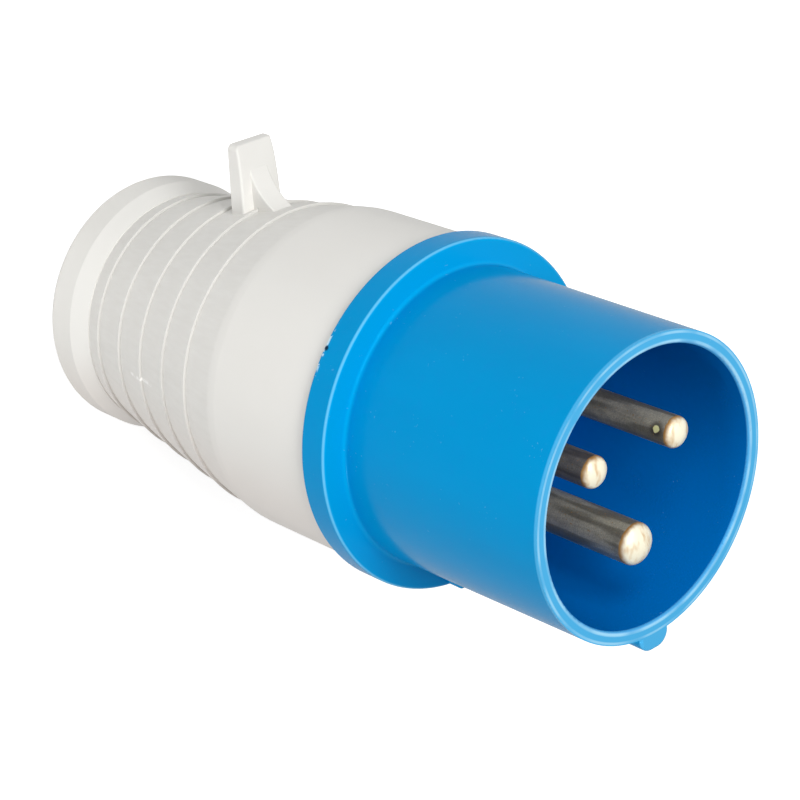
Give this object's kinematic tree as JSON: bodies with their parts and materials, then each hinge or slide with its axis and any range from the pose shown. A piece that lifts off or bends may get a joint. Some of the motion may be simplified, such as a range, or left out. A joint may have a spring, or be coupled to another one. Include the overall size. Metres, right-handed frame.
{
  "type": "industrial pin and sleeve plug",
  "caption": "Round industrial power plug: blue sleeve with a key rib round brass pins, grey stepped handle with a lid lug, and a screwed cable gland at the rear.",
  "frame": {"origin": "centre of the gland nut's flat rear face, on which the plug stands", "axes": "+Z along the plug towards its mouth, +Y towards the lid lug, -Y towards the key rib"},
  "size_m": [0.0688, 0.0776, 0.1432],
  "materials": {
    "blue_plastic": "satin",
    "grey_plastic": "satin",
    "carrier_plastic": "matte",
    "clamp_plastic": "matte",
    "seal_rubber": "matte",
    "pin_brass": "turned",
    "screw_steel": "zinc plated"
  },
  "bodies": {
    "gland_nut": {"gland_nut": "grey_plastic"},
    "clamp_ring": {"clamp_ring": "clamp_plastic", "slip_washer": "clamp_plastic"},
    "rear_cover": {"rear_cover": "grey_plastic", "cable_seal": "seal_rubber"},
    "cover_seal": {"cover_seal": "seal_rubber"},
    "front_sleeve": {"front_sleeve": "blue_plastic", "pin_carrier": "carrier_plastic", "retaining_plate": "carrier_plastic", "carrier_screw_1": "screw_steel", "carrier_screw_2": "screw_steel", "carrier_screw_3": "screw_steel", "earth_pin": "pin_brass", "line_pin": "pin_brass", "neutral_pin": "pin_brass", "earth_terminal_screw": "screw_steel", "line_terminal_screw": "screw_steel", "neutral_terminal_screw": "screw_steel"}
  },
  "joints": [
    {"name": "gland_turn", "type": "hinge", "parent": "gland_nut", "child": "clamp_ring", "pos_m": [0, 0, 0], "axis": [0, 0, 1], "range_deg": [0, 540]},
    {"name": "gland_advance", "type": "slide", "parent": "clamp_ring", "child": "rear_cover", "axis": [0, 0, 1], "range_m": [0, 0.0045]},
    {"name": "cover_advance", "type": "slide", "parent": "rear_cover", "child": "cover_seal", "axis": [0, 0, 1], "range_m": [0, 0.009]},
    {"name": "cover_twist", "type": "hinge", "parent": "cover_seal", "child": "front_sleeve", "pos_m": [0, 0, 0], "axis": [0, 0, 1], "range_deg": [0, 270]}
  ],
  "couplings": [
    {"joint": "gland_advance", "follows": "gland_turn", "m_per_rad": 0.00047746},
    {"joint": "cover_advance", "follows": "cover_twist", "m_per_rad": 0.0019099}
  ]
}
